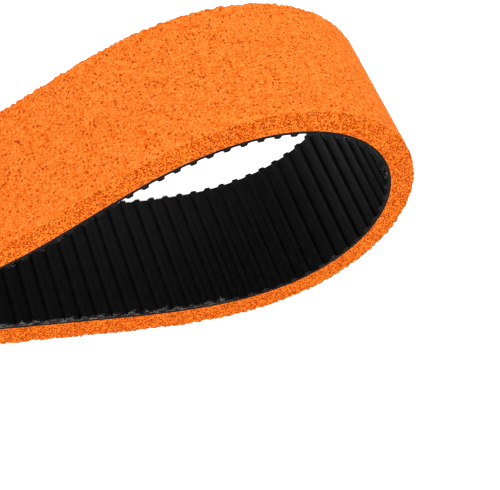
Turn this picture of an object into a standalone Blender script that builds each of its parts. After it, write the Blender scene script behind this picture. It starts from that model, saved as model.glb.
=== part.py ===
"""Endless toothed timing belt with a thick bonded cover of cellular rubber.

The straight lower run rests on the ground, the loop opens along Y, and the upper run
swings round a lobe at each end and sags at the waist.

Frame: metres, +Z up, X along the runs, Y across the belt, origin on the ground below
the middle of the lower run.
"""

import math

import bmesh
import bpy
import numpy as np

# Toothed belt: the standard inch series with a 3/8 inch pitch
TEETH = 144                     # an even number keeps the two halves alike
PITCH = 0.009525                # along the cord line
BELT_WIDTH = 0.0889
TOOTH_HEIGHT = 0.00191
TOOTH_BASE_WIDTH = 0.00465      # at the land, between the two flanks
TOOTH_FLANK_ANGLE = math.radians(20)
LAND_TO_CORD = 0.000381         # from the land's surface to the middle of the cords
WEB_THICKNESS = 0.00169         # belt without its teeth

# Layers
FACING_THICKNESS = 0.00012
CORD_THICKNESS = 0.00026        # centred on the cord line
EDGE_CORD_WIDTH = 0.0004
BOND_THICKNESS = 0.00015
COVER_THICKNESS = 0.0143
LAYER_GAP = 0.00002             # clearance between neighbouring layers

# Splice of the cover, on the lower run
SPLICE_X = -0.098
SPLICE_SLOPE_RUN = 0.014        # how far the skived cut travels through the cover
SPLICE_FILM = 0.0003
SPLICE_CLEARANCE = 0.00005

# Shape of the loop at rest
STRAIGHT_HALF_RUN = 0.128       # straight lower run, from its middle to one end
WAIST_HEIGHT = 0.0324           # between the cord lines of the two runs, at the middle
BEND_SEVENTH = -0.006           # shares of the half turn taken by the finer waves of bend
BEND_NINTH = -0.016
BEND_WAVES = np.array([1, 3, 5, 7, 9])
FIRST_GUESS = (0.47, -0.047)    # shares of the third and fifth wave, before solving
SOLVER_ROUNDS = 40
SOLVER_STEP = 1e-6
STRAIGHT_TURN = 1e-6            # a joint that turns by less than this is straight

SHARP_EDGE = math.radians(25)

# Distances from the cord line, outwards positive, that follow from the layers
LAND = -LAND_TO_CORD
CORD_INNER = -CORD_THICKNESS / 2
CORD_OUTER = CORD_THICKNESS / 2
BELT_BACK = LAND + WEB_THICKNESS
BOND_INNER = BELT_BACK + LAYER_GAP
COVER_INNER = BOND_INNER + BOND_THICKNESS + LAYER_GAP


def clear_scene():
    for item in list(bpy.data.objects):
        bpy.data.objects.remove(item, do_unlink=True)


def turns(third, fifth):
    """Turn at each joint of the half loop, in radians.

    The bend grows from nothing at the end of the straight run and is the same on both
    sides of the waist, so it is a sum of odd quarter waves. Each wave's share is the part
    of the half turn that it makes, and the first one takes what the others leave.
    """
    shares = np.array([0.0, third, fifth, BEND_SEVENTH, BEND_NINTH])
    shares[0] = 1.0 - shares.sum()
    half = TEETH // 2
    free_length = half * PITCH - STRAIGHT_HALF_RUN
    station = np.arange(half + 1) * PITCH
    way = np.clip((station - STRAIGHT_HALF_RUN) / free_length, 0.0, 1.0)
    waves = np.sin(np.outer(way, BEND_WAVES) * math.pi / 2)
    heights = shares * math.pi * (BEND_WAVES * math.pi / 2)
    bend = waves @ heights * PITCH / free_length
    bend[-1] /= 2                # the other half of the waist's turn is the far side's
    return bend * math.pi / bend.sum()


def half_line(third, fifth):
    """Points of the half loop: straight pitches, each turned from the last one."""
    bend = turns(third, fifth)
    heading = np.cumsum(bend[:-1])
    steps = PITCH * np.column_stack([np.cos(heading), np.sin(heading)])
    return np.vstack([[0.0, 0.0], np.cumsum(steps, axis=0)])


def closing_error(shape):
    end = half_line(*shape)[-1]
    return np.array([end[0], end[1] - WAIST_HEIGHT])


def solve_shape():
    """Shares of the third and fifth wave that close the loop at the named waist."""
    shape = np.array(FIRST_GUESS)
    for _ in range(SOLVER_ROUNDS):
        error = closing_error(shape)
        nudged = [closing_error(shape + SOLVER_STEP * unit) for unit in np.eye(2)]
        slope = np.column_stack([(moved - error) / SOLVER_STEP for moved in nudged])
        shape = shape - np.linalg.solve(slope, error)
    return shape


def cord_line():
    """The closed cord line, counter-clockwise from the middle of the lower run."""
    right = half_line(*solve_shape())
    right[-1, 0] = 0.0
    left = right[-2:0:-1] * np.array([-1.0, 1.0])
    ground_to_cord = COVER_INNER + COVER_THICKNESS
    return np.vstack([right, left]) + np.array([0.0, ground_to_cord])


def headings(line):
    step = np.roll(line, -1, axis=0) - line
    return step / np.linalg.norm(step, axis=1)[:, None]


def mitres(line):
    """Outward vector at each joint that offsets both straights beside it by one."""
    ahead = headings(line)
    behind = np.roll(ahead, 1, axis=0)
    outward_ahead = np.column_stack([ahead[:, 1], -ahead[:, 0]])
    outward_behind = np.column_stack([behind[:, 1], -behind[:, 0]])
    middle = outward_ahead + outward_behind
    reach = 1.0 + (outward_ahead * outward_behind).sum(axis=1)
    return middle / reach[:, None]


def bent_joints(line):
    """Joints where the line turns, so that straight runs need no points of their own."""
    ahead = headings(line)
    behind = np.roll(ahead, 1, axis=0)
    turn = ahead[:, 1] * behind[:, 0] - ahead[:, 0] * behind[:, 1]
    return np.abs(turn) > STRAIGHT_TURN


def offset_ring(line, distance):
    keep = bent_joints(line)
    return (line + mitres(line) * distance)[keep]


def material(name, colour, roughness):
    mat = bpy.data.materials.new(name)
    mat.use_nodes = True
    shader = mat.node_tree.nodes["Principled BSDF"]
    shader.inputs["Base Color"].default_value = (*colour, 1.0)
    shader.inputs["Roughness"].default_value = roughness
    shader.inputs["Metallic"].default_value = 0.0
    mat.diffuse_color = (*colour, 1.0)
    return mat


def add_object(name, bm, mat):
    bmesh.ops.recalc_face_normals(bm, faces=bm.faces[:])
    mesh = bpy.data.meshes.new(name)
    bm.to_mesh(mesh)
    bm.free()
    mesh.materials.append(mat)
    mesh.shade_smooth()
    mesh.set_sharp_from_angle(angle=SHARP_EDGE)
    bpy.context.scene.collection.objects.link(bpy.data.objects.new(name, mesh))


def pull_across(bm, faces, front, back):
    """Extrude flat faces, drawn at Y = front, to Y = back."""
    grown = bmesh.ops.extrude_face_region(bm, geom=faces)
    moved = [part for part in grown["geom"] if isinstance(part, bmesh.types.BMVert)]
    bmesh.ops.translate(bm, vec=(0.0, back - front, 0.0), verts=moved)


def add_band(name, inner, outer, mat, front, back, closed=True):
    """Solid between two outlines with the same number of points, pulled across Y."""
    bm = bmesh.new()
    inside = [bm.verts.new((x, front, z)) for x, z in inner]
    outside = [bm.verts.new((x, front, z)) for x, z in outer]
    count = len(inside)
    faces = []
    for here in range(count if closed else count - 1):
        there = (here + 1) % count
        corners = (inside[here], outside[here], outside[there], inside[there])
        faces.append(bm.faces.new(corners))
    pull_across(bm, faces, front, back)
    add_object(name, bm, mat)


def tooth_outline(inset):
    """One tooth's four corners as (along, inwards from the land), inset all round.

    Along is measured from the tooth's middle. An inset tooth keeps the same distance
    to the land, to both flanks and to the tip.
    """
    slope = math.tan(TOOTH_FLANK_ANGLE)
    half_base = TOOTH_BASE_WIDTH / 2 - inset / math.cos(TOOTH_FLANK_ANGLE)
    root = -inset
    tip = TOOTH_HEIGHT - inset
    root_half = half_base - root * slope
    tip_half = half_base - tip * slope
    return np.array([(-root_half, root), (-tip_half, tip), (tip_half, tip), (root_half, root)])


def placed(outline, line, index):
    """Carry (along, inwards from the land) points to one straight pitch of the line."""
    start = line[index]
    ahead = headings(line)[index]
    outward = np.array([ahead[1], -ahead[0]])
    middle = start + ahead * PITCH / 2
    along = outline[:, :1] * ahead
    across = (LAND - outline[:, 1:]) * outward
    return middle + along + across


def toothed_pitches(line, inset):
    """Every pitch's outline: the joint in its first land, then its tooth's corners."""
    joints = line + mitres(line) * (LAND + inset)
    tooth = tooth_outline(inset)
    return [
        np.vstack([joints[index], placed(tooth, line, index)]) for index in range(len(line))]


def plain_pitches(line, distance):
    return [joint[None, :] for joint in line + mitres(line) * distance]


def add_pitched_band(name, inner, outer, mat):
    """Solid ring over the belt's width, one side face a pitch, from two lists of outlines."""
    half = BELT_WIDTH / 2
    bm = bmesh.new()
    inside = [[bm.verts.new((x, -half, z)) for x, z in pitch] for pitch in inner]
    outside = [[bm.verts.new((x, -half, z)) for x, z in pitch] for pitch in outer]
    faces = []
    for here, (near, far) in enumerate(zip(inside, outside)):
        there = (here + 1) % len(inside)
        corners = near + [inside[there][0], outside[there][0]] + far[::-1]
        faces.append(bm.faces.new(corners))
    pull_across(bm, faces, -half, half)
    add_object(name, bm, mat)


def add_tooth_facing(line):
    mat = material("nylon facing", (0.022, 0.022, 0.024), 0.75)
    inner = toothed_pitches(line, 0.0)
    outer = toothed_pitches(line, FACING_THICKNESS)
    add_pitched_band("tooth_facing", inner, outer, mat)


def add_tooth_rubber(line):
    """The teeth's rubber, joined by the thin skin that lies under the cords."""
    mat = material("tooth rubber", (0.018, 0.018, 0.018), 0.6)
    inner = toothed_pitches(line, FACING_THICKNESS + LAYER_GAP)
    outer = plain_pitches(line, CORD_INNER - LAYER_GAP)
    add_pitched_band("tooth_rubber", inner, outer, mat)


def add_cords(line):
    """The wound cords as one band, with the turn that each edge cut sets free beside it."""
    mat = material("glass cord", (0.36, 0.34, 0.30), 0.7)
    half = BELT_WIDTH / 2
    inner = offset_ring(line, CORD_INNER)
    outer = offset_ring(line, CORD_OUTER)
    band_half = half - EDGE_CORD_WIDTH - LAYER_GAP
    add_band("tension_cords", inner, outer, mat, -band_half, band_half)
    for name, side in (("edge_cord_front", -1), ("edge_cord_back", 1)):
        reach = sorted((side * half, side * (half - EDGE_CORD_WIDTH)))
        add_band(name, inner, outer, mat, *reach)


def add_back_rubber(line):
    mat = material("back rubber", (0.015, 0.015, 0.015), 0.55)
    half = BELT_WIDTH / 2
    inner = offset_ring(line, CORD_OUTER + LAYER_GAP)
    outer = offset_ring(line, BELT_BACK)
    add_band("back_rubber", inner, outer, mat, -half, half)


def add_bond_film(line):
    mat = material("bond film", (0.10, 0.06, 0.03), 0.4)
    half = BELT_WIDTH / 2
    inner = offset_ring(line, BOND_INNER)
    outer = offset_ring(line, BOND_INNER + BOND_THICKNESS)
    add_band("bond_film", inner, outer, mat, -half, half)


def open_strip(ring, start_x, end_x):
    """The ring's points from the splice round to the splice again, ends included."""
    height = ring[0, 1]
    return np.vstack([[start_x, height], ring, [end_x, height]])


def add_cover(line):
    """Cover strip laid round the belt, its two skived ends glued on the lower run."""
    mat = material("cellular rubber", (0.86, 0.20, 0.045), 0.9)
    film_mat = material("splice adhesive", (0.45, 0.09, 0.03), 0.5)
    half = BELT_WIDTH / 2
    inner = offset_ring(line, COVER_INNER)
    outer = offset_ring(line, COVER_INNER + COVER_THICKNESS)
    slope = SPLICE_SLOPE_RUN / COVER_THICKNESS
    lean = math.hypot(1.0, slope)
    film = SPLICE_FILM / 2 * lean
    edge = (SPLICE_FILM / 2 + SPLICE_CLEARANCE) * lean
    top_x = SPLICE_X + SPLICE_SLOPE_RUN / 2
    foot_x = SPLICE_X - SPLICE_SLOPE_RUN / 2
    strip_inner = open_strip(inner, top_x + edge, top_x - edge)
    strip_outer = open_strip(outer, foot_x + edge, foot_x - edge)
    add_band("foam_cover", strip_inner, strip_outer, mat, -half, half, closed=False)
    low = outer[0, 1]
    high = inner[0, 1]
    film_inner = [(top_x - film, high), (top_x + film, high)]
    film_outer = [(foot_x - film, low), (foot_x + film, low)]
    add_band("cover_splice", film_inner, film_outer, film_mat, -half, half, closed=False)


def main():
    clear_scene()
    line = cord_line()
    add_tooth_facing(line)
    add_tooth_rubber(line)
    add_cords(line)
    add_back_rubber(line)
    add_bond_film(line)
    add_cover(line)


main()
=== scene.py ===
import math

import bpy
import numpy as np
from mathutils import Matrix, Vector


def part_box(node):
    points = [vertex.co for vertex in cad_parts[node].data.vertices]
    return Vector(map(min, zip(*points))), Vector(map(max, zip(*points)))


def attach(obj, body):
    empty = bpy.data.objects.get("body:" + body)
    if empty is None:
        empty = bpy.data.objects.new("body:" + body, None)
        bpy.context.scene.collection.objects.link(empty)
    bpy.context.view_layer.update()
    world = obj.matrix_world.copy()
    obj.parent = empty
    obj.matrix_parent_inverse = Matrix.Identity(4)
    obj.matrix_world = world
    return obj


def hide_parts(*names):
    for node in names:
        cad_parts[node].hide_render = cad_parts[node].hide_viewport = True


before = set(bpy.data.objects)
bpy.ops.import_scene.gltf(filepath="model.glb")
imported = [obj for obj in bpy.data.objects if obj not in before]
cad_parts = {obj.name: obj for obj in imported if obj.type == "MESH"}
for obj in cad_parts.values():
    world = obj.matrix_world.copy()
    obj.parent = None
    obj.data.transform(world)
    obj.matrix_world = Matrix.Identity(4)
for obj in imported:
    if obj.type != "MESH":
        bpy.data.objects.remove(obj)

scene = bpy.context.scene
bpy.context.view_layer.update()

# The belt line, in metres: the same rule as the CAD, along the middle of the cords
loop = {
    "teeth": 144,
    "pitch": 0.009525,
    "straightHalfRun": 0.128,
    "waistHeight": 0.0324,
    "seventhWave": -0.006,
    "ninthWave": -0.016,
    "samplesPerPitch": 24,
    "firstGuess": (0.466, -0.047),
    "nudge": 1e-6,
    "newtonSteps": 20,
}
waveNumbers = np.array([1, 3, 5, 7, 9])
halfLength = loop["teeth"] / 2 * loop["pitch"]
wholeLength = 2 * halfLength


# Heading along the half loop. The bend is a sum of odd quarter waves from the end of the
# straight run to the waist, so the heading is a sum of (1 - cosine), times half a turn.
def halfHeading(s, third, fifth):
    shares = np.array([0.0, third, fifth, loop["seventhWave"], loop["ninthWave"]])
    shares[0] = 1.0 - shares.sum()
    freeLength = halfLength - loop["straightHalfRun"]
    way = np.clip((s - loop["straightHalfRun"]) / freeLength, 0.0, 1.0)
    return math.pi * (1.0 - np.cos(np.outer(way, waveNumbers) * math.pi / 2)) @ shares


# Points of the half loop: the running sum of small steps along the heading
def halfPoints(third, fifth):
    count = loop["teeth"] // 2 * loop["samplesPerPitch"]
    s = np.linspace(0.0, halfLength, count + 1)
    middle = halfHeading((s[1:] + s[:-1]) / 2, third, fifth)
    step = halfLength / count
    x = np.concatenate([[0.0], np.cumsum(np.cos(middle) * step)])
    z = np.concatenate([[0.0], np.cumsum(np.sin(middle) * step)])
    return s, x, z


# How far the half loop's end is from the middle plane, and from the waist's height
def endMiss(shares):
    _, x, z = halfPoints(*shares)
    return np.array([x[-1], z[-1] - loop["waistHeight"]])


# Newton's rule on the two free shares: each step divides the miss by its measured slope
def solveLoop():
    shares = np.array(loop["firstGuess"])
    nudge = loop["nudge"]
    for step in range(loop["newtonSteps"]):
        miss = endMiss(shares)
        slope = np.column_stack([(endMiss(shares + nudge * unit) - miss) / nudge
                                 for unit in np.eye(2)])
        shares = shares - np.linalg.solve(slope, miss)
    print("belt line: shares", shares.round(4), "with", step + 1, "steps")
    return shares


shapeShares = solveLoop()
halfS, halfX, halfZ = halfPoints(*shapeShares)

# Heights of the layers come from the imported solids, seen at the lower run
cordThickness = 0.00026
layerGap = 0.00002
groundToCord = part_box("tension_cords")[0].z + cordThickness / 2
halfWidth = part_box("back_rubber")[1].y
beltBack, bondBack, coverBack = (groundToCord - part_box(node)[0].z
                                 for node in ("back_rubber", "bond_film", "foam_cover"))
print("layers: cord line", round(groundToCord * 1000, 2), "mm above the ground, belt back at",
      round(beltBack * 1000, 3), "mm, cover to", round(coverBack * 1000, 3), "mm")


# Evenly spaced rows round the whole belt
def evenRows(count):
    return np.arange(count) * (wholeLength / count)


# Place on the belt: s along the cord line from the middle of the lower run, out away from
# the cord line, y across. The left half mirrors the right one.
def onBelt(s, out, y):
    s, out, y = np.broadcast_arrays(s, out, y)
    around = np.mod(s, wholeLength)
    onLeft = around > halfLength
    folded = np.where(onLeft, wholeLength - around, around)
    x = np.interp(folded, halfS, halfX)
    z = np.interp(folded, halfS, halfZ)
    heading = halfHeading(folded.ravel(), *shapeShares).reshape(folded.shape)
    x = x + np.sin(heading) * out
    z = z - np.cos(heading) * out
    x = np.where(onLeft, -x, x)
    return np.stack([x, y, z + groundToCord], axis=-1)


# A mesh from a grid of points (rows, columns, 3): every row is a closed outline, and the rows
# follow each other round a ring, or from one capped end to the other. The sign of the volume,
# a sum of corner products, says whether the faces have to be turned to point outwards.
def gridMesh(name, points, material, attributes=None, ring=True):
    columns = points.shape[1]
    index = np.arange(points.shape[0] * columns).reshape(-1, columns)
    nextRow = np.roll(index, -1, axis=0)
    nextColumn = np.roll(index, -1, axis=1)
    both = np.roll(nextRow, -1, axis=1)
    quads = np.stack([index, nextRow, both, nextColumn], axis=-1)
    ends = []
    if not ring:
        quads = quads[:-1]
        ends = [index[0], index[-1][::-1]]
    flat = points.reshape(-1, 3)
    quads = quads.reshape(-1, 4)
    a, b, c, d = (flat[quads[:, corner]] for corner in range(4))
    volume = (np.cross(a, b) * c).sum() + (np.cross(a, c) * d).sum()
    if volume < 0:
        quads = quads[:, ::-1]
        ends = [end[::-1] for end in ends]
    corners = np.concatenate([quads.ravel(), *ends]).astype(np.int32)
    starts = np.concatenate([np.arange(0, quads.size, 4),
                             quads.size + columns * np.arange(len(ends))])
    mesh = bpy.data.meshes.new(name)
    mesh.vertices.add(len(flat))
    mesh.vertices.foreach_set("co", flat.astype(np.float32).ravel())
    mesh.loops.add(len(corners))
    mesh.loops.foreach_set("vertex_index", corners)
    mesh.polygons.add(len(starts))
    mesh.polygons.foreach_set("loop_start", starts.astype(np.int32))
    mesh.update(calc_edges=True)
    mesh.validate()
    mesh.shade_smooth()
    for label, values in (attributes or {}).items():
        layer = mesh.attributes.new(label, "FLOAT", "POINT")
        layer.data.foreach_set("value", values.astype(np.float32).ravel())
    mesh.materials.append(material)
    piece = bpy.data.objects.new(name, mesh)
    scene.collection.objects.link(piece)
    return piece


# Hash of whole-number cells to numbers from 0 to 1, the same on every run
def cellHash(cells, seed):
    x = cells[..., 0].astype(np.int64)
    y = cells[..., 1].astype(np.int64)
    z = cells[..., 2].astype(np.int64)
    h = (x * 73856093) ^ (y * 19349663) ^ (z * 83492791) ^ (seed * 2654435761)
    h = (h ^ (h >> 13)) * 1274126177
    h = h & 0x7FFFFFFF
    h = (h ^ (h >> 16)) * 668265263
    h = h & 0x7FFFFFFF
    return ((h ^ (h >> 15)) & 0xFFFFFF) / float(0xFFFFFF)


# Smooth noise from -1 to 1: the eight corner values of a cell, blended with eased weights
def smoothNoise(points, size, seed):
    scaled = points / size
    cell = np.floor(scaled).astype(np.int64)
    part = scaled - cell
    ease = part * part * (3 - 2 * part)
    total = 0.0
    for corner in range(8):
        step = np.array([corner & 1, corner >> 1 & 1, corner >> 2 & 1])
        weight = np.where(step, ease, 1 - ease).prod(axis=-1)
        total = total + weight * cellHash(cell + step, seed)
    return total * 2 - 1


# Sum of smooth noises, one for each (size, weight), with seeds that count up
def noiseSum(points, parts, seed):
    return sum(smoothNoise(points, size, seed + k) * weight
               for k, (size, weight) in enumerate(parts))


# Round cells: distance to the nearest of one random point in each cell, and that cell's number
def cellNoise(points, size, seed):
    scaled = points / size
    cell = np.floor(scaled).astype(np.int64)
    nearest = np.full(points.shape[:-1], 9.0)
    number = np.zeros(points.shape[:-1])
    for dx in (-1, 0, 1):
        for dy in (-1, 0, 1):
            for dz in (-1, 0, 1):
                there = cell + np.array([dx, dy, dz])
                spot = np.stack([cellHash(there, seed + k) for k in (1, 2, 3)], axis=-1)
                gap = np.linalg.norm(there + spot - scaled, axis=-1)
                closer = gap < nearest
                nearest = np.where(closer, gap, nearest)
                number = np.where(closer, cellHash(there, seed + 4), number)
    return nearest, number


# Camera: a long lens, looking down on the near edge from the left, tilted
cameraView = {
    "place": (-0.10254, -0.48183, groundToCord + 0.58632),
    "azimuth": 35.391,
    "elevation": 44.606,
    "roll": 22.30,
    "lens": 93.75,
    "sensor": 36.0,
    "clip": (0.01, 20.0),
}


# The line of sight follows from azimuth and elevation, and roll turns the frame about it
def makeCamera(view):
    data = bpy.data.cameras.new("camera")
    data.lens = view["lens"]
    data.sensor_width = view["sensor"]
    data.clip_start, data.clip_end = view["clip"]
    camera = bpy.data.objects.new("camera", data)
    az, el, roll = (math.radians(view[key]) for key in ("azimuth", "elevation", "roll"))
    ahead = Vector((math.sin(az) * math.cos(el), math.cos(az) * math.cos(el), -math.sin(el)))
    level = Vector((math.cos(az), -math.sin(az), 0.0))
    upright = level.cross(ahead)
    right = level * math.cos(roll) + upright * math.sin(roll)
    up = upright * math.cos(roll) - level * math.sin(roll)
    turn = Matrix((right, up, -ahead)).transposed().to_4x4()
    camera.matrix_world = Matrix.Translation(view["place"]) @ turn
    scene.collection.objects.link(camera)
    scene.camera = camera


makeCamera(cameraView)


# One value in a material, with the arithmetic that adds its Math nodes
class Wire:
    def __init__(self, board, socket):
        self.board = board
        self.socket = socket

    def math(self, operation, other, flipped=False):
        first, second = (other, self) if flipped else (self, other)
        return self.board.node("ShaderNodeMath", {"operation": operation}, {0: first, 1: second})

    def __add__(self, other):
        return self.math("ADD", other)

    def __sub__(self, other):
        return self.math("SUBTRACT", other)

    def __rsub__(self, other):
        return self.math("SUBTRACT", other, True)

    def __mul__(self, other):
        return self.math("MULTIPLY", other)

    __radd__ = __add__
    __rmul__ = __mul__


# A material's node tree, with one way to add any node and links to the main shader
class Board:
    def __init__(self, name, settings):
        self.material = bpy.data.materials.new(name)
        self.material.use_nodes = True
        self.tree = self.material.node_tree
        self.shader = self.tree.nodes["Principled BSDF"]
        for key, value in settings.items():
            self.shader.inputs[key].default_value = value
        self.material.diffuse_color = self.shader.inputs["Base Color"].default_value[:]

    def node(self, kind, settings=None, inputs=None, output=0):
        made = self.tree.nodes.new(kind)
        for key, value in (settings or {}).items():
            setattr(made, key, value)
        for key, value in (inputs or {}).items():
            if isinstance(value, Wire):
                self.tree.links.new(value.socket, made.inputs[key])
            else:
                made.inputs[key].default_value = value
        return Wire(self, made.outputs[output])

    def objectPlace(self):
        return self.node("ShaderNodeTexCoord", output="Object")

    def attribute(self, name):
        return self.node("ShaderNodeAttribute", {"attribute_name": name}, output="Fac")

    def noise(self, place, size, detail, output="Fac"):
        return self.node("ShaderNodeTexNoise", None,
                         {"Vector": place, "Scale": 1.0 / size, "Detail": detail}, output)

    # Round cells: distance to the nearest cell's middle, in cell sizes, and a luck of 0 to 1
    def cells(self, place, size):
        distance = self.node("ShaderNodeTexVoronoi", {"feature": "F1"},
                             {"Vector": place, "Scale": 1.0 / size}, "Distance")
        pick = Wire(self, distance.socket.node.outputs["Color"])
        return distance, self.node("ShaderNodeSeparateColor", None, {"Color": pick}, "Red")

    # An even sine wave along a value, one every length
    def waves(self, value, length):
        return self.node("ShaderNodeMath", {"operation": "SINE"},
                         {0: value * (2 * math.pi / length)})

    # 0 below low, 1 above high, eased between
    def rise(self, value, low, high):
        return self.node("ShaderNodeMapRange", {"interpolation_type": "SMOOTHSTEP"},
                         {"Value": value, "From Min": low, "From Max": high})

    def blend(self, factor, first, second):
        return self.node("ShaderNodeMix", {"data_type": "RGBA"},
                         {0: factor, 6: first, 7: second}, 2)

    def bump(self, height, distance, strength):
        return self.node("ShaderNodeBump", None,
                         {"Height": height, "Distance": distance, "Strength": strength})

    def feed(self, key, value):
        self.tree.links.new(value.socket, self.shader.inputs[key])


# Orange cellular rubber: open cells, close together on the cut edges and sparser on the outer
# face, over a grainy mottle. The cells and the mesh's own pits are painted darker, deepest in
# their middles: painted shade in the hollows. cutEdge is 0 on the outer face and 1 on the
# edges; pit is the depth of the cells that the mesh itself carries, from 0 to 1. Grain, mottle
# and patch are (size, detail), and a warp is (size, reach).
cellularLook = {
    "bright": (1.0, 0.296, 0.048, 1.0),
    "deep": (0.87, 0.132, 0.0040, 1.0),
    # the pore colours on the face and on the cut edges, and the colour of the cells' middles, are
    # painted shade in the hollows
    "poreShade": (0.62, 0.056, 0.0006, 1.0),
    "cut": (0.86, 0.180, 0.014, 1.0),
    "cutPoreShade": (0.40, 0.032, 0.0003, 1.0),
    "holeShade": (0.20, 0.011, 0.0003, 1.0),
    "roughness": 0.92,
    "specular": 0.01,
    "warps": ((0.0015, 0.00035), (0.00042, 0.00034)),
    "warpDetail": 1.0,
    "grain": (0.0011, 3.0),
    "mottle": (0.0034, 3.0),
    "patch": (0.016, 2.0),
    "tone": {"mottle": 0.24, "grain": 0.70, "patch": 0.06, "edge": 0.015, "range": (0.41, 0.60)},
    "cutShare": 0.6,
    "fineCells": {"size": 0.00052, "reach": 0.5, "rim": (-0.15, 0.15), "share": 0.16},
    "faceCells": {"size": 0.0019, "patchy": 0.0, "luck": (0.25, 1.08), "reach": 0.41,
                  "rim": (-0.16, 0.10), "shade": "poreShade", "share": 0.78,
                  "middle": (0.05, 0.36), "bowl": (-0.14, 0.32), "sink": 0.8},
    "edgeCells": {"size": 0.00108, "patchy": 0.3, "luck": (-0.9, 0.7), "reach": 0.47,
                  "rim": (-0.17, 0.13), "shade": "cutPoreShade", "share": 0.84,
                  "middle": (0.0, 0.40), "bowl": (-0.16, 0.42), "sink": 1.3},
    "middleShadeShare": 0.70,
    # the mesh's pits get painted shade: their walls the pore colour, their floors the darker
    # middle colour
    "pitWalls": {"grain": 0.4, "range": (0.40, 0.75), "share": 0.85},
    "pitFloors": {"grain": 0.25, "range": (0.85, 1.2), "share": 0.8},
    "relief": {"grain": 0.6, "mottle": 0.5, "fine": 0.3, "pit": 0.8},
    "depth": 0.00045,
    "bump": 0.9,
}


def cellularRubber():
    look = cellularLook
    board = Board("cellularRubber", {"Base Color": look["bright"], "Roughness": look["roughness"],
                                     "Specular IOR Level": look["specular"]})
    place = board.objectPlace()
    edge = board.attribute("cutEdge")
    pit = board.attribute("pit")
    # noise pushes the cells out of round
    push = place
    for size, reach in look["warps"]:
        wind = board.noise(place, size, look["warpDetail"], "Color")
        push = board.node("ShaderNodeVectorMath", {"operation": "MULTIPLY_ADD"},
                          {0: wind, 1: (reach,) * 3, 2: push})
    grain = board.noise(place, *look["grain"])
    mottle = board.noise(place, *look["mottle"])
    patch = board.noise(place, *look["patch"])
    tone = look["tone"]
    blotch = (mottle * tone["mottle"] + grain * tone["grain"] + patch * tone["patch"]
              + edge * tone["edge"])
    shaded = board.blend(board.rise(blotch, *tone["range"]), look["bright"], look["deep"])
    shaded = board.blend(edge * look["cutShare"], shaded, look["cut"])
    # much smaller cells lie between the others, painted darker as shade in their hollows, twice as
    # strong on the edges
    fine = look["fineCells"]
    fineGap, fineLuck = board.cells(push, fine["size"])
    finePore = board.rise(fineLuck * fine["reach"] - fineGap, *fine["rim"])
    shaded = board.blend(finePore * (fine["share"] + edge * fine["share"]), shaded, look["poreShade"])
    # a cell's reach grows with its luck, and it shows where the reach beats the distance; there
    # the cell gets painted shade
    middles, bowls = [], []
    for cell, where in ((look["faceCells"], 1 - edge), (look["edgeCells"], edge)):
        gap, luck = board.cells(push, cell["size"])
        depth = board.rise(luck + patch * cell["patchy"], *cell["luck"]) * cell["reach"] - gap
        poreShade = board.rise(depth, *cell["rim"]) * where
        shaded = board.blend(poreShade * cell["share"], shaded, look[cell["shade"]])
        middles.append(board.rise(depth, *cell["middle"]) * where)
        bowls.append(board.rise(depth, *cell["bowl"]) * where * cell["sink"])
    # the middles of the cells lie in their own shade, and so do the mesh's own pits
    shaded = board.blend(sum(middles) * look["middleShadeShare"], shaded, look["holeShade"])
    walls, floors = (board.rise(pit + grain * part["grain"], *part["range"])
                     for part in (look["pitWalls"], look["pitFloors"]))
    shaded = board.blend(walls * look["pitWalls"]["share"], shaded, look["poreShade"])
    shaded = board.blend(floors * look["pitFloors"]["share"], shaded, look["holeShade"])
    board.feed("Base Color", shaded)
    relief = look["relief"]
    height = (grain * relief["grain"] + mottle * relief["mottle"] - finePore * relief["fine"]
              - sum(bowls) - walls * relief["pit"])
    board.feed("Normal", board.bump(height, look["depth"], look["bump"]))
    return board.material


# Black woven nylon: ribs across the belt and finer threads along it, with a dull sheen
nylonLook = {
    "base": (0.0012, 0.0012, 0.0012, 1.0),
    "worn": (0.0036, 0.0036, 0.0036, 1.0),
    "wear": (0.40, 0.70),
    "roughness": 0.42,
    "roughnessSwing": 0.2,
    "specular": 0.09,
    "rib": 0.00062,
    "thread": 0.00048,
    "ribShare": 0.7,
    "knotShare": 0.3,
    "lint": (0.006, 5.0),
    "lintShare": 0.6,
    "depth": 0.00005,
    "bump": 0.7,
}


def nylonWeave():
    look = nylonLook
    board = Board("nylonWeave", {"Base Color": look["base"],
                                 "Specular IOR Level": look["specular"]})
    rib = board.waves(board.attribute("across"), look["rib"])
    thread = board.waves(board.attribute("along"), look["thread"])
    weave = rib * look["ribShare"] + rib * thread * look["knotShare"]
    lint = board.noise(board.objectPlace(), *look["lint"])
    worn = board.rise(lint, *look["wear"])
    board.feed("Base Color", board.blend(worn, look["base"], look["worn"]))
    board.feed("Roughness", look["roughness"] + lint * look["roughnessSwing"])
    board.feed("Normal", board.bump(weave + lint * look["lintShare"], look["depth"], look["bump"]))
    return board.material


# Moulded black rubber, dusty grey and lightly scored where the knife slit the edges
rubberLook = {
    "base": (0.0032, 0.0032, 0.0032, 1.0),
    "dusty": (0.0085, 0.0083, 0.008, 1.0),
    "dust": (0.0022, 6.0),
    "dustRange": (0.42, 0.75),
    "score": (0.0004, 2.0),
    "roughness": 0.5,
    "roughnessSwing": 0.25,
    "specular": 0.06,
    "depth": 0.00006,
    "bump": 0.6,
}


def mouldedRubber():
    look = rubberLook
    board = Board("mouldedRubber", {"Base Color": look["base"],
                                    "Specular IOR Level": look["specular"]})
    place = board.objectPlace()
    dust = board.noise(place, *look["dust"])
    score = board.noise(place, *look["score"])
    dusted = board.rise(dust, *look["dustRange"])
    board.feed("Base Color", board.blend(dusted, look["base"], look["dusty"]))
    board.feed("Roughness", look["roughness"] + score * look["roughnessSwing"])
    board.feed("Normal", board.bump(score + dust, look["depth"], look["bump"]))
    return board.material


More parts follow.
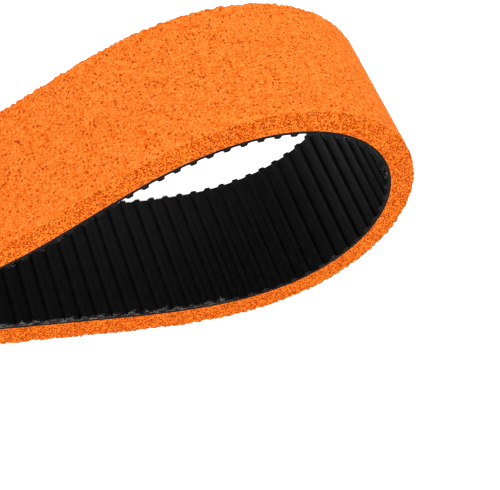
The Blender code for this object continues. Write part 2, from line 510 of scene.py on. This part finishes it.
# Glass fibre, from dark where it is dirty to pale
glassLook = {
    "cordGlass": {"dark": (0.0045, 0.0044, 0.0042, 1.0), "pale": (0.026, 0.025, 0.023, 1.0)},
    "looseFibre": {"dark": (0.08, 0.077, 0.072, 1.0), "pale": (0.38, 0.37, 0.35, 1.0)},
    "dirt": (0.0045, 5.0),
    "dirtRange": (0.4, 0.62),
    "roughness": 0.45,
    "roughnessSwing": 0.3,
    "specular": 0.12,
}


def glassFibre(name):
    look = glassLook
    shades = look[name]
    board = Board(name, {"Base Color": shades["pale"], "Specular IOR Level": look["specular"]})
    dirt = board.noise(board.objectPlace(), *look["dirt"])
    clean = board.rise(dirt, *look["dirtRange"])
    board.feed("Base Color", board.blend(clean, shades["dark"], shades["pale"]))
    board.feed("Roughness", look["roughness"] + dirt * look["roughnessSwing"])
    return board.material


# Set adhesive, lumpy and darker on its lumps
glueLook = {
    "bondGlue": {"light": (0.022, 0.011, 0.006, 1.0), "dark": (0.008, 0.006, 0.005, 1.0)},
    "spliceGlue": {"light": (0.42, 0.062, 0.012, 1.0), "dark": (0.22, 0.028, 0.006, 1.0)},
    "lumps": (0.0012, 4.0),
    "lumpRange": (0.35, 0.7),
    "roughness": 0.35,
    "roughnessSwing": 0.3,
    "specular": 0.06,
    "depth": 0.0001,
    "bump": 0.7,
}


def adhesive(name):
    look = glueLook
    shades = look[name]
    board = Board(name, {"Base Color": shades["light"], "Specular IOR Level": look["specular"]})
    lump = board.noise(board.objectPlace(), *look["lumps"])
    high = board.rise(lump, *look["lumpRange"])
    board.feed("Base Color", board.blend(high, shades["light"], shades["dark"]))
    board.feed("Roughness", look["roughness"] + lump * look["roughnessSwing"])
    board.feed("Normal", board.bump(lump, look["depth"], look["bump"]))
    return board.material


orangeCells = cellularRubber()
blackNylon = nylonWeave()
blackRubber = mouldedRubber()
cordGlass = glassFibre("cordGlass")
looseFibre = glassFibre("looseFibre")
bondGlue = adhesive("bondGlue")
spliceGlue = adhesive("spliceGlue")
print("materials made:", len(bpy.data.materials))

# The cover: a strip of cellular rubber laid round the belt, skived where its ends meet. Lumps,
# grains and tears are noises of (size, weight).
cover = {
    "spliceX": -0.098,
    "spliceRun": 0.014,
    "film": 0.0004,
    "leanFade": 0.030,
    "rowStep": 0.00072,
    "rowStretch": 1.06,
    "faceStep": 0.00072,
    "edgeStep": 0.00062,
    "innerColumns": 8,
    "corner": 0.0006,
    "cornerPull": 0.35,
    "lumps": ((0.0042, 0.6), (0.0021, 0.4)),
    "lump": 0.00018,
    "grains": ((0.0012, 0.6), (0.0017, 0.4)),
    "grain": 0.00024,
    "proud": 0.00024,
    "sink": 0.00004,
    "facePit": {"cell": 0.0033, "share": 0.60, "least": 0.00025, "most": 0.00080, "depth": 0.0007},
    "edgePit": {"cell": 0.0023, "share": 0.70, "least": 0.00025, "most": 0.00065, "depth": 0.0006},
    "pitWall": 0.0004,
    "pitRim": 0.35,
    "glueFade": 0.0006,
    "tears": ((0.0021, 0.5), (0.0012, 1.0)),
    "chipReach": 0.0017,
    "chip": 0.00072,
    "seeds": {"lumps": 11, "grains": 13, "tears": 16, "facePit": 21, "edgePit": 31},
}
coverInner = bondBack + layerGap
skiveLean = math.hypot(1.0, cover["spliceRun"] / (coverBack - coverInner))
tiny = 1e-9      # nearer than this counts as on a surface


# Where the skived joint lies at a distance from the cord line, as a share of its run: half a
# run ahead of its middle at the glued side and half a run behind it at the outer face
def skiveShare(out):
    return 0.5 - (out - coverInner) / (coverBack - coverInner)


# Open cells: 0 away from them, rising over the wall to 1 inside. Each cell has its own reach,
# and a share of them is missing.
def openCells(points, kind):
    pit = cover[kind]
    gap, number = cellNoise(points, pit["cell"], cover["seeds"][kind])
    luck = (number - (1 - pit["share"])) / pit["share"]
    reach = pit["least"] + (pit["most"] - pit["least"]) * np.clip(luck, 0, 1)
    inside = np.clip((reach - gap * pit["cell"]) / cover["pitWall"] + cover["pitRim"], 0, 1)
    return np.where(luck > 0, inside, 0.0)


# Outline of the cover's section as (out, across) with its outward normal and an edge mask,
# round the outer face, the back edge, the inner face and the front edge
def coverSection():
    outer, inner = coverBack, coverInner
    faceCount = int(2 * halfWidth / cover["faceStep"])
    edgeCount = int((outer - inner) / cover["edgeStep"])
    face = np.linspace(-halfWidth, halfWidth, faceCount + 1)
    depth = np.linspace(outer, inner, edgeCount + 2)[1:-1]
    under = np.linspace(halfWidth, -halfWidth, cover["innerColumns"])
    out = np.concatenate([np.full(len(face), outer), depth,
                          np.full(len(under), inner), depth[::-1]])
    across = np.concatenate([face, np.full(len(depth), halfWidth),
                             under, np.full(len(depth), -halfWidth)])
    # round the two outer corners a little: pull points within the corner's reach inwards
    reach = cover["corner"]
    fromEdge = halfWidth - np.abs(across)
    fromFace = outer - out
    near = np.clip(1 - (fromEdge + fromFace) / reach, 0, 1)
    out = out - near * reach * cover["cornerPull"]
    across = across - np.sign(across) * near * reach * cover["cornerPull"]
    # the outer face points out, an edge points across, a corner both, and the glued side stays
    onInner = np.zeros(len(out), bool)
    onInner[len(face) + len(depth):len(face) + len(depth) + len(under)] = True
    onFace = fromFace < tiny
    onEdge = (fromEdge < tiny) & ~onInner
    normalOut = np.where(onFace, 1.0, 0.0)
    normalAcross = np.where(onEdge, np.sign(across), 0.0)
    length = np.maximum(np.hypot(normalOut, normalAcross), tiny)
    edgeMask = np.where(onEdge, np.where(onFace, 0.5, 1.0), 0.0)
    return out, across, normalOut / length, normalAcross / length, edgeMask


# The section is carried along the belt line, and near the splice its rows lean with the skived
# ends. Noise lifts it along its normals, open cells sink into it, and the corners are torn.
def makeCover():
    out, across, normalOut, normalAcross, edgeColumn = coverSection()
    start = cover["spliceX"] + cover["film"] / 2 * skiveLean
    end = cover["spliceX"] + wholeLength - cover["film"] / 2 * skiveLean
    rows = int((end - start) * cover["rowStretch"] / cover["rowStep"])
    s = np.linspace(start, end, rows)
    fade = np.maximum(np.clip(1 - (s - start) / cover["leanFade"], 0, 1),
                      np.clip(1 - (end - s) / cover["leanFade"], 0, 1))
    sGrid = s[:, None] + fade[:, None] * skiveShare(out)[None, :] * cover["spliceRun"]
    place = onBelt(sGrid, out, across)
    seeds = cover["seeds"]
    lump = noiseSum(place, cover["lumps"], seeds["lumps"])
    grain = noiseSum(place, cover["grains"], seeds["grains"])
    edgeMask = np.broadcast_to(edgeColumn, sGrid.shape)
    pit = openCells(place, "facePit") * (1 - edgeMask) + openCells(place, "edgePit") * edgeMask
    depth = cover["facePit"]["depth"] * (1 - edgeMask) + cover["edgePit"]["depth"] * edgeMask
    rise = lump * cover["lump"] + grain * cover["grain"] - cover["sink"]
    rise = np.minimum(rise, cover["proud"]) - pit * depth
    rise = rise * np.clip(np.abs(out - coverInner) / cover["glueFade"], 0, 1)
    # the outer corners are torn: they wander in and out along their diagonal
    cornerGap = (halfWidth - np.abs(across)) + (coverBack - out)
    torn = np.clip(1 - cornerGap / cover["chipReach"], 0, 1) * cover["chip"]
    torn = torn * noiseSum(place, cover["tears"], seeds["tears"])
    outGrid = out + np.minimum(rise * normalOut + torn, cover["proud"])
    acrossGrid = across + rise * normalAcross + torn * np.sign(across)
    piece = gridMesh("coverFoam", onBelt(sGrid, outGrid, acrossGrid), orangeCells,
                     {"cutEdge": edgeMask, "pit": pit}, ring=False)
    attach(piece, "root")
    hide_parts("foam_cover")
    print("cover:", rows, "rows,", len(out), "columns,", rows * len(out), "points")


makeCover()


# The toothed belt: standard tooth form with a generous root fillet. across gives the facing's
# columns as shares of the width, close together at the slit edges.
tooth = {
    "height": 0.00191,
    "baseWidth": 0.00465,
    "flankAngle": math.radians(20),
    "rootRadius": 0.00090,
    "tipRadius": 0.00080,
    "arcPoints": 5,
    "landPoints": 4,
    "tipPoints": 3,
    "facing": 0.00012,
    "landOut": -0.000381,
    "across": [0.0, 0.004, *np.linspace(0.02, 0.98, 9), 0.996, 1.0],
    "innerShare": 0.4,
    "facingSharp": math.radians(50),
}


# One pitch of the belt's inner side as (along, depth), from land middle to land middle:
# half a land, a root arc, the flank, a tip arc, half a tip, and the same mirrored. An inset
# moves every surface into the rubber, which widens the root arcs and tightens the tip ones.
def toothProfile(inset):
    angle = tooth["flankAngle"]
    turn = math.pi / 2 - angle
    rootRadius = tooth["rootRadius"] + inset
    tipRadius = tooth["tipRadius"] - inset
    height = tooth["height"]
    halfBase = tooth["baseWidth"] / 2
    halfTip = halfBase - height * math.tan(angle)
    tangent = math.tan(turn / 2)
    rootCentre = (-halfBase - tooth["rootRadius"] * tangent, tooth["rootRadius"])
    tipCentre = (-halfTip + tooth["tipRadius"] * tangent, height - tooth["tipRadius"])
    sweep = np.linspace(0, turn, tooth["arcPoints"])
    rootArc = np.column_stack([rootCentre[0] + rootRadius * np.sin(sweep),
                               rootCentre[1] - rootRadius * np.cos(sweep)])
    tipArc = np.column_stack([tipCentre[0] - tipRadius * np.sin(turn - sweep),
                              tipCentre[1] + tipRadius * np.cos(turn - sweep)])
    landAlong = np.linspace(-loop["pitch"] / 2, rootArc[0, 0], tooth["landPoints"])[:-1]
    land = np.column_stack([landAlong, np.full(len(landAlong), -inset)])
    tipAlong = np.linspace(tipArc[-1, 0], 0.0, tooth["tipPoints"])[1:]
    tip = np.column_stack([tipAlong, np.full(len(tipAlong), height - inset)])
    half = np.vstack([land, rootArc, tipArc, tip])
    mirrored = half[-2:0:-1] * np.array([-1.0, 1.0])
    return np.vstack([half, mirrored])


# Rows along the whole belt: s at each profile point, and its depth below the land
def toothRows(inset):
    profile = toothProfile(inset)
    middles = (np.arange(loop["teeth"]) + 0.5) * loop["pitch"]
    s = (middles[:, None] + profile[None, :, 0]).ravel()
    depth = np.tile(profile[:, 1], loop["teeth"])
    return s, depth


# The two slit edges, whose wander is noises of (size, weight), and the layers between them.
# ooze lets a soft layer bulge past the slit edges.
slit = {
    "swing": 0.00006,
    "wander": ((0.006, 1.0), (0.0017, 0.5)),
    "sideOffset": 7.0,
    "facingSeed": 31,
    "rubberSeed": 35,
}
layers = {
    "rowsPerPitch": 6,
    "oozeSize": 0.009,
    "sharp": math.radians(40),
    "backRubber": {"seed": 41, "ooze": 0.0},
    "bondFilm": {"seed": 51, "ooze": 0.00012},
}


# Points along one side, as places for its own noise
def sidePoints(s, across):
    return np.stack([s, np.full_like(s, across), np.zeros_like(s)], axis=-1)


# Front and back slit edges of the belt: the knife wanders by a few hundredths of a millimetre
def slitEdges(s, seed):
    edges = []
    for side, sideSeed in ((-1, seed), (1, seed + 2)):
        points = sidePoints(s, side * slit["sideOffset"])
        wander = noiseSum(points, slit["wander"], sideSeed)
        edges.append(side * (halfWidth + wander * slit["swing"]))
    return edges


# The woven skin over teeth and lands: the tooth profile on its inner side, the same profile
# set back by the facing's thickness behind it, and the slit edges between them
def makeFacing():
    s, depth = toothRows(0.0)
    sBack, depthBack = toothRows(tooth["facing"])
    share = np.array(tooth["across"])
    front, back = slitEdges(s, slit["facingSeed"])
    across = front[:, None] * (1 - share) + back[:, None] * share
    inner = onBelt(s[:, None], (tooth["landOut"] - depth)[:, None], across)
    behind = np.stack([back, (front + back) / 2, front], axis=1)
    outer = onBelt(sBack[:, None], (tooth["landOut"] - depthBack)[:, None], behind)
    points = np.concatenate([inner, outer], axis=1)
    along = np.broadcast_to((s + depth)[:, None], points.shape[:2])
    piece = gridMesh("toothFacing", points, blackNylon,
                     {"along": along, "across": np.concatenate([across, behind], axis=1)})
    piece.data.set_sharp_from_angle(angle=tooth["facingSharp"])
    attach(piece, "root")
    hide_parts("tooth_facing")
    print("facing:", loop["teeth"], "teeth,", len(s), "rows")


# The rubber under the facing, seen only at the two slit edges
def makeToothRubber():
    s, depth = toothRows(tooth["facing"] + layerGap)
    front, back = slitEdges(s, slit["rubberSeed"])
    inner = tooth["innerShare"]
    across = np.stack([front, front * inner, back * inner, back, back, front], axis=1)
    out = np.concatenate([np.repeat((tooth["landOut"] - depth)[:, None], 4, axis=1),
                          np.full((len(s), 2), -cordThickness / 2 - layerGap)], axis=1)
    piece = gridMesh("toothRubber", onBelt(s[:, None], out, across), blackRubber)
    piece.data.set_sharp_from_angle(angle=layers["sharp"])
    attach(piece, "root")
    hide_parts("tooth_rubber")


# A smooth layer of the belt as a closed ring between two distances from the cord line, with
# edges that swell halfway up
def makeLayer(name, low, high, material, node):
    s = evenRows(loop["teeth"] * layers["rowsPerPitch"])
    seed = layers[name]["seed"]
    front, back = slitEdges(s, seed)
    middle = (low + high) / 2
    oozeNoise = smoothNoise(sidePoints(s, 0.0), layers["oozeSize"], seed + 4)
    swell = layers[name]["ooze"] * (0.5 + 0.5 * oozeNoise)
    across = np.stack([front, 0 * s, back, back + swell, back, 0 * s, front, front - swell],
                      axis=1)
    out = [low, low, low, middle, high, high, high, middle]
    piece = gridMesh(name, onBelt(s[:, None], out, across), material)
    piece.data.set_sharp_from_angle(angle=layers["sharp"])
    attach(piece, "root")
    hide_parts(node)


makeFacing()
makeToothRubber()
makeLayer("backRubber", cordThickness / 2 + layerGap, beltBack, blackRubber,
          "back_rubber")
makeLayer("bondFilm", beltBack + layerGap, bondBack, bondGlue, "bond_film")
print("belt layers made")

# Cords: the wound band inside, and the last turn at each edge as a twisted strand
cord = {
    "bandRowsPerPitch": 4,
    "bandInset": 0.00045,
    "plies": 3,
    "twist": 0.0026,
    "sides": 9,
    "step": 0.00055,
    "relief": 0.18,
    "wide": 0.00021,
    "thick": 0.00014,
    "proud": 0.00004,
    "wander": 0.00007,
    "wanderSize": 0.011,
    "sideOffset": 3.0,
    "seeds": {-1: 61, 1: 63},
}


# The wound band: a flat rectangle between the edge strands, carried along the belt line
def makeCordBand():
    s = evenRows(loop["teeth"] * cord["bandRowsPerPitch"])
    edge = halfWidth - cord["bandInset"]
    half = cordThickness / 2
    points = onBelt(s[:, None], [-half, -half, half, half], [-edge, edge, edge, -edge])
    piece = gridMesh("cordBand", points, cordGlass)
    piece.data.set_sharp_from_angle(angle=layers["sharp"])
    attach(piece, "root")
    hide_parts("tension_cords")


# A strand's section is an ellipse with one bulge a ply, and the bulges turn along it, the
# opposite way on each side
def makeEdgeCord(name, node, side):
    s = evenRows(int(wholeLength / cord["step"]))
    turnsRound = round(wholeLength / cord["twist"])
    angle = np.linspace(0, 2 * math.pi, cord["sides"], endpoint=False)
    phase = -side * 2 * math.pi * turnsRound * s / wholeLength
    bulge = 1 + cord["relief"] * np.cos(cord["plies"] * angle[None, :] + phase[:, None])
    points = sidePoints(s, side * cord["sideOffset"])
    wander = smoothNoise(points, cord["wanderSize"], cord["seeds"][side]) * cord["wander"]
    centre = side * (halfWidth - cord["wide"] + cord["proud"]) + wander
    across = centre[:, None] + cord["wide"] * bulge * np.cos(angle)[None, :]
    out = cord["thick"] * bulge * np.sin(angle)[None, :]
    piece = gridMesh(name, onBelt(s[:, None], out, across), cordGlass)
    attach(piece, "root")
    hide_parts(node)


makeCordBand()
makeEdgeCord("edgeCordFront", "edge_cord_front", -1)
makeEdgeCord("edgeCordBack", "edge_cord_back", 1)
print("cords made")

# Loose fibres: short hairs of cord and facing that the slitting knife pulled out. They stand in
# small tufts, most of them on the lower run and the rest, with shorter hairs, all round.
fibres = {
    "count": 3600,
    "lowTufts": 787,
    "farTufts": 112,
    "lowRun": 0.21,
    "tuftSpread": 0.0016,
    "onTeeth": 0.8,
    "fromCords": (-0.0003, 0.0001),
    "short": 0.0006,
    "long": 0.0034,
    "longFew": 2.2,
    "farLength": 0.5,
    "leanAlong": 0.8,
    "leanOut": (0.75, 0.4),
    "leanAcross": (-0.15, 0.45),
    "curl": 0.5,
    "curlShares": (1.0, 0.5, 0.3),
    "joints": 5,
    "sides": 3,
    "radius": 0.00005,
    "taper": 0.6,
    "crossways": (0.31, 0.52, 0.79),
    "seed": 71,
}


# Where every hair starts and how it runs: its spine leaves the edge in a straight line and
# bends away from it with the square of the way
def fibreSpines(side):
    rng = np.random.default_rng(fibres["seed"] + (side > 0))
    count = fibres["count"]
    lowTufts = rng.uniform(-fibres["lowRun"], fibres["lowRun"], fibres["lowTufts"])
    farTufts = rng.uniform(0, wholeLength, fibres["farTufts"])
    tufts = np.concatenate([lowTufts, farTufts])
    tuft = rng.integers(0, len(tufts), count)
    s = tufts[tuft] + rng.normal(0, fibres["tuftSpread"], count)
    profile = toothProfile(0.0)
    inPitch = np.mod(s, loop["pitch"]) - loop["pitch"] / 2
    depth = np.interp(inPitch, profile[:, 0], profile[:, 1])
    out = np.where(rng.random(count) < fibres["onTeeth"], tooth["landOut"] - depth,
                   rng.uniform(*fibres["fromCords"], count))
    spread = fibres["long"] - fibres["short"]
    length = fibres["short"] + spread * rng.random(count) ** fibres["longFew"]
    length = length * np.where(tuft < len(lowTufts), 1.0, fibres["farLength"])
    leanAlong = rng.normal(0, fibres["leanAlong"], count)
    leanOut = -np.abs(rng.normal(*fibres["leanOut"], count))
    leanAcross = side * rng.uniform(*fibres["leanAcross"], count)
    size = np.sqrt(leanAlong ** 2 + leanOut ** 2 + leanAcross ** 2)
    curl = rng.normal(0, fibres["curl"], (count, 3))
    way = np.linspace(0, 1, fibres["joints"])
    reach = length[:, None] * way[None, :]
    bend = reach * way[None, :]
    starts = (s, out, np.full(count, side * halfWidth))
    leans = (leanAlong, leanOut, leanAcross)
    paths = [start[:, None] + reach * (lean / size)[:, None] + bend * bow[:, None] * share
             for start, lean, bow, share in zip(starts, leans, curl.T, fibres["curlShares"])]
    return onBelt(*paths)


# Every hair is a tapering tube: quads between the rings round its spine, and a triangle at
# each end
def makeFibres(name, side):
    spine = fibreSpines(side)
    count, joints, sides = fibres["count"], fibres["joints"], fibres["sides"]
    tangent = np.gradient(spine, axis=1)
    tangent /= np.linalg.norm(tangent, axis=2, keepdims=True)
    aside = np.cross(tangent, np.array(fibres["crossways"]))
    aside /= np.linalg.norm(aside, axis=2, keepdims=True)
    other = np.cross(tangent, aside)
    angle = np.linspace(0, 2 * math.pi, sides, endpoint=False)[None, None, :, None]
    thin = fibres["radius"] * (1 - fibres["taper"] * np.linspace(0, 1, joints))
    circle = np.cos(angle) * aside[:, :, None] + np.sin(angle) * other[:, :, None]
    rings = spine[:, :, None] + thin[None, :, None, None] * circle
    index = np.arange(count * joints * sides).reshape(count, joints, sides)
    here, there = index[:, :-1], index[:, 1:]
    quads = np.stack([here, np.roll(here, -1, 2), np.roll(there, -1, 2), there], axis=-1)
    ends = np.concatenate([index[:, 0, ::-1], index[:, -1]])
    mesh = bpy.data.meshes.new(name)
    mesh.from_pydata(rings.reshape(-1, 3).tolist(), [],
                     quads.reshape(-1, 4).tolist() + ends.tolist())
    mesh.update()
    mesh.materials.append(looseFibre)
    piece = bpy.data.objects.new(name, mesh)
    scene.collection.objects.link(piece)
    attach(piece, "root")


makeFibres("looseFibresFront", -1)
makeFibres("looseFibresBack", 1)
print("fibres made:", fibres["count"], "at each edge")


# The cover's splice: how far its film keeps from the glued side, the face and the edges
splice = {"rows": 18, "columns": 90, "fromGlue": 0.0001, "fromFace": 0.0003, "fromEdge": 0.0002,
          "fill": 0.98}


# Glue line of the cover's splice: a thin slanted slab that follows the skived ends
def makeSplice():
    out = np.linspace(coverInner + splice["fromGlue"], coverBack - splice["fromFace"],
                      splice["rows"])
    centre = cover["spliceX"] + skiveShare(out) * cover["spliceRun"]
    half = cover["film"] / 2 * splice["fill"] * skiveLean
    columns = splice["columns"]
    edge = halfWidth - splice["fromEdge"]
    face = np.linspace(-edge, edge, columns)
    across = np.concatenate([face, face[::-1]])
    side = np.concatenate([np.full(columns, -half), np.full(columns, half)])
    sGrid = centre[:, None] + side[None, :]
    points = onBelt(sGrid, out[:, None], across)
    piece = gridMesh("coverSplice", points, spliceGlue, ring=False)
    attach(piece, "root")
    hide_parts("cover_splice")
    print("splice made")


makeSplice()


# Pale studio: a soft key from the front left, a wide fill from the right, an even white
# surround and a floor lit softly from below, as on a light table
studio = {
    "white": (1.0, 1.0, 1.0, 1.0),
    "surround": 0.52,
    "floor": (0.90, 0.90, 0.90, 1.0),
    "floorRoughness": 0.9,
    "floorSpecular": 0.1,
    "floorSize": 80.0,
    "floorLevel": -0.0003,
    "glow": 0.60,
    "lights": {
        "softKey": {"place": (-0.95, -1.55, 0.95), "size": 0.55, "power": 25.0},
        "wideFill": {"place": (1.15, 0.20, 1.70), "size": 1.6, "power": 22.0},
    },
    "aim": (0.05, 0.0, 0.06),
}


def makeStudio():
    world = bpy.data.worlds.new("surround")
    scene.world = world
    world.use_nodes = True
    background = world.node_tree.nodes["Background"]
    background.inputs["Color"].default_value = studio["white"]
    background.inputs["Strength"].default_value = studio["surround"]
    for name, light in studio["lights"].items():
        data = bpy.data.lights.new(name, "AREA")
        data.size = light["size"]
        data.energy = light["power"]
        lamp = bpy.data.objects.new(name, data)
        lamp.location = light["place"]
        towards = Vector(studio["aim"]) - lamp.location
        lamp.rotation_euler = towards.to_track_quat("-Z", "Y").to_euler()
        scene.collection.objects.link(lamp)
    bpy.ops.mesh.primitive_plane_add(size=studio["floorSize"],
                                     location=(0.0, 0.0, studio["floorLevel"]))
    floor = bpy.context.object
    floor.name = "floor"
    board = Board("paleFloor", {"Base Color": studio["floor"],
                                "Roughness": studio["floorRoughness"],
                                "Specular IOR Level": studio["floorSpecular"],
                                "Emission Color": studio["white"],
                                "Emission Strength": studio["glow"]})
    floor.data.materials.append(board.material)
    scene.view_settings.view_transform = "Standard"
    print("studio made")


makeStudio()
